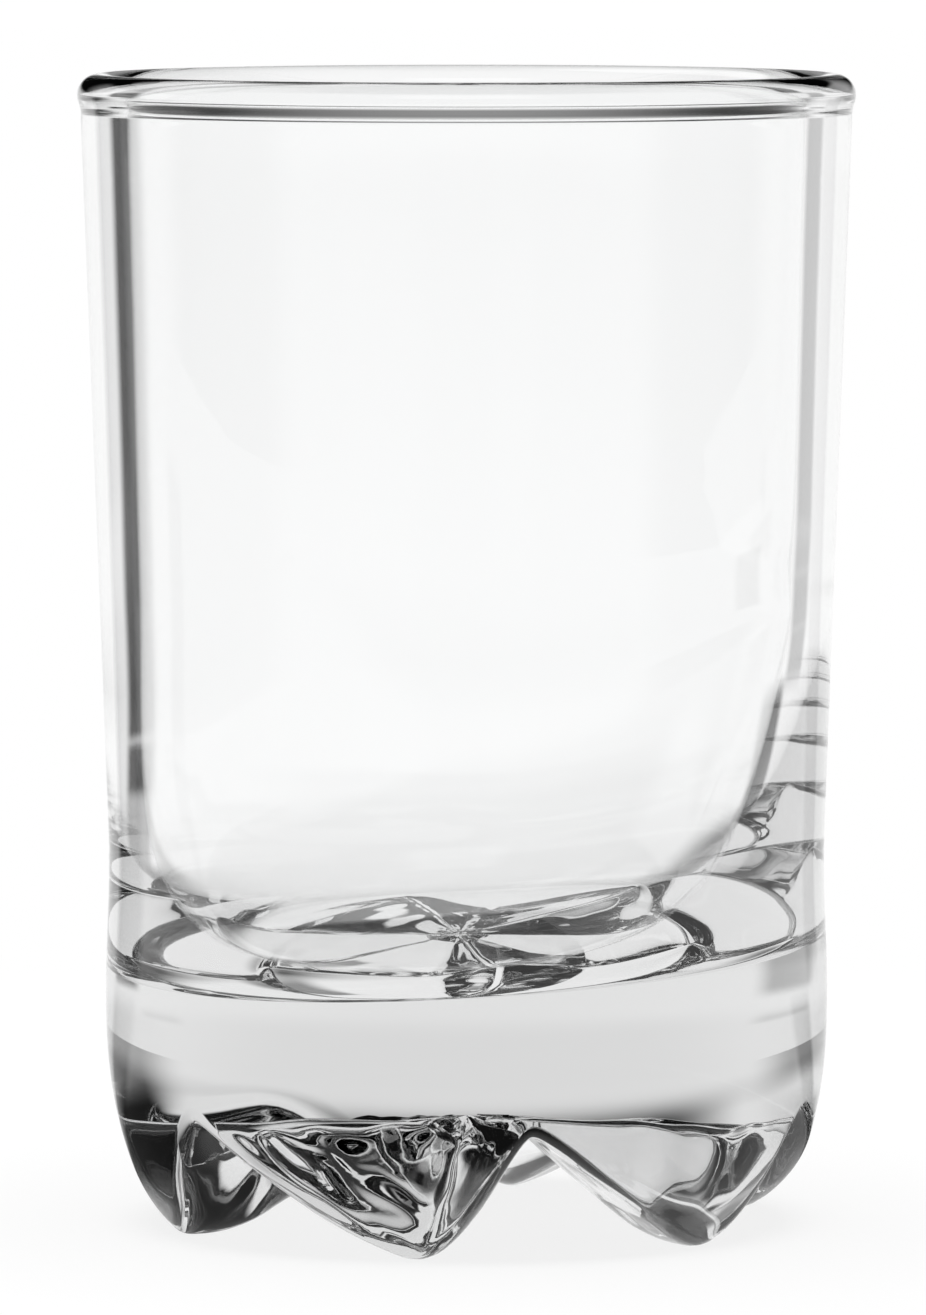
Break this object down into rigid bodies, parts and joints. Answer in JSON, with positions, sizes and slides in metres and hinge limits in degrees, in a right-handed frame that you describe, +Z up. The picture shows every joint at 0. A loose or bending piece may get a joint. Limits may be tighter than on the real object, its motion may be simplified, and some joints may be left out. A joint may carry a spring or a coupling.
{
  "type": "rocks glass",
  "caption": "Clear pressed-glass rocks tumbler: beaded lip, tapered round wall, rounded inside, heavy bottom standing on swirled scalloped feet.",
  "frame": {"origin": "on the glass's axis, in the plane of the foot pads, so Z = 0 is the table", "axes": "+Z up along the axis towards the lip; one notch between two feet faces -Y and the opposite one faces +Y"},
  "size_m": [0.0778, 0.0778, 0.1155],
  "materials": {
    "clear_glass": "fire-polished, clear, untinted"
  },
  "bodies": {
    "root": {"tumbler": "clear_glass"}
  },
  "joints": []
}
